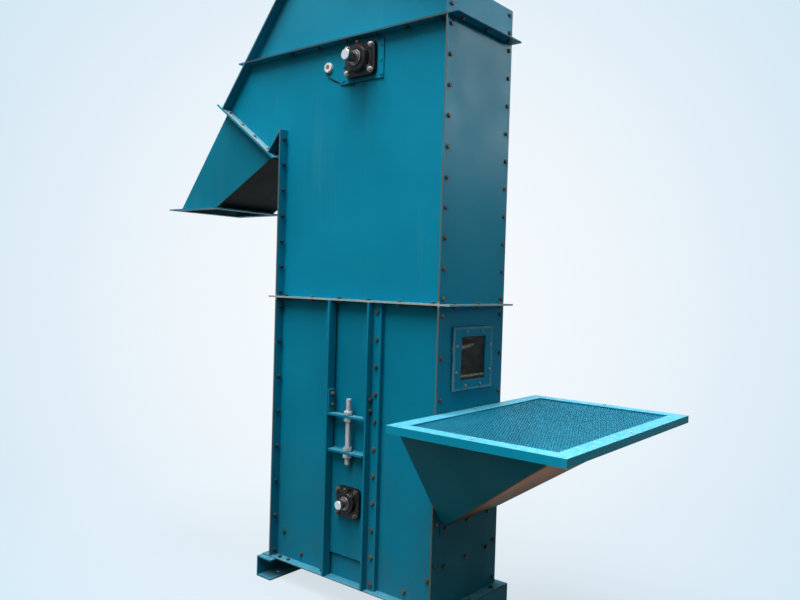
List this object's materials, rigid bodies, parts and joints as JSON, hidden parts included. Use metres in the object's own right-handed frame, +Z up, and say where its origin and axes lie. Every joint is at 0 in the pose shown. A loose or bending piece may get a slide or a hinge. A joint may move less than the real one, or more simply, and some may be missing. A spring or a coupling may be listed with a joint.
{
  "type": "bucket elevator",
  "caption": "Sheet-steel belt bucket elevator with a hooded head, sloped discharge chute, screw take-up boot and a feed hopper under a mesh table.",
  "frame": {"origin": "on the floor, under the middle of the casing and of its four anchor holes", "axes": "+Z up; +X towards the feed hopper, -X towards the discharge chute; -Y is the front with the take-up in view"},
  "size_m": [2.131, 0.914, 2.4181],
  "materials": {
    "teal_paint": "satin teal enamel",
    "bearing_black": "black enamelled casting",
    "zinc_plate": "bright zinc-plated steel",
    "shaft_steel": "bright turned steel",
    "pulley_iron": "dark cast iron",
    "belt_rubber": "black ply belt",
    "bucket_steel": "pressed steel, dulled by grain",
    "clear_pane": "clear pane with dust",
    "cap_plastic": "white plastic"
  },
  "bodies": {
    "casing": {"feet": "teal_paint", "boot_front_wall": "teal_paint", "boot_back_wall": "teal_paint", "boot_left_panel": "teal_paint", "boot_right_panel": "teal_paint", "boot_floor": "teal_paint", "trunk_front_wall": "teal_paint", "trunk_back_wall": "teal_paint", "trunk_left_panel": "teal_paint", "trunk_right_panel": "teal_paint", "spout_floor": "teal_paint", "spout_cover": "teal_paint", "hood_front_wall": "teal_paint", "hood_back_wall": "teal_paint", "hood_cover": "teal_paint", "chute_inlet_flange": "teal_paint", "chute_sides": "teal_paint", "chute_top": "teal_paint", "chute_bottom": "teal_paint", "chute_outlet_flange": "teal_paint", "window_pane": "clear_pane", "window_frame": "teal_paint", "hopper_back": "teal_paint", "hopper_sides": "teal_paint", "hopper_bottom": "teal_paint", "hopper_rim": "teal_paint", "table_grid": "teal_paint", "front_guides": "teal_paint", "back_guides": "teal_paint", "takeup_brackets": "teal_paint", "takeup_screws": "zinc_plate", "head_bearing_plates": "teal_paint", "head_bearing_front": "bearing_black", "head_bearing_back": "bearing_black", "belt": "belt_rubber", "buckets": "bucket_steel", "wall_cap": "cap_plastic"},
    "takeup": {"front_slide": "teal_paint", "back_slide": "teal_paint", "boot_bearing_front": "bearing_black", "boot_bearing_back": "bearing_black"},
    "boot_rotor": {"boot_shaft": "shaft_steel", "boot_pulley": "pulley_iron"},
    "head_rotor": {"head_shaft": "shaft_steel", "head_pulley": "pulley_iron"}
  },
  "joints": [
    {"name": "takeup_slide", "type": "slide", "parent": "casing", "child": "takeup", "axis": [0, 0, 1], "range_m": [0, 0.06]},
    {"name": "boot_shaft_turn", "type": "hinge", "parent": "takeup", "child": "boot_rotor", "pos_m": [0, 0, 0.375], "axis": [0, 1, 0], "continuous": true},
    {"name": "head_shaft_turn", "type": "hinge", "parent": "casing", "child": "head_rotor", "pos_m": [0, 0, 1.98], "axis": [0, 1, 0], "continuous": true}
  ],
  "couplings": [
    {"joint": "boot_shaft_turn", "follows": "head_shaft_turn", "ratio": 1}
  ]
}
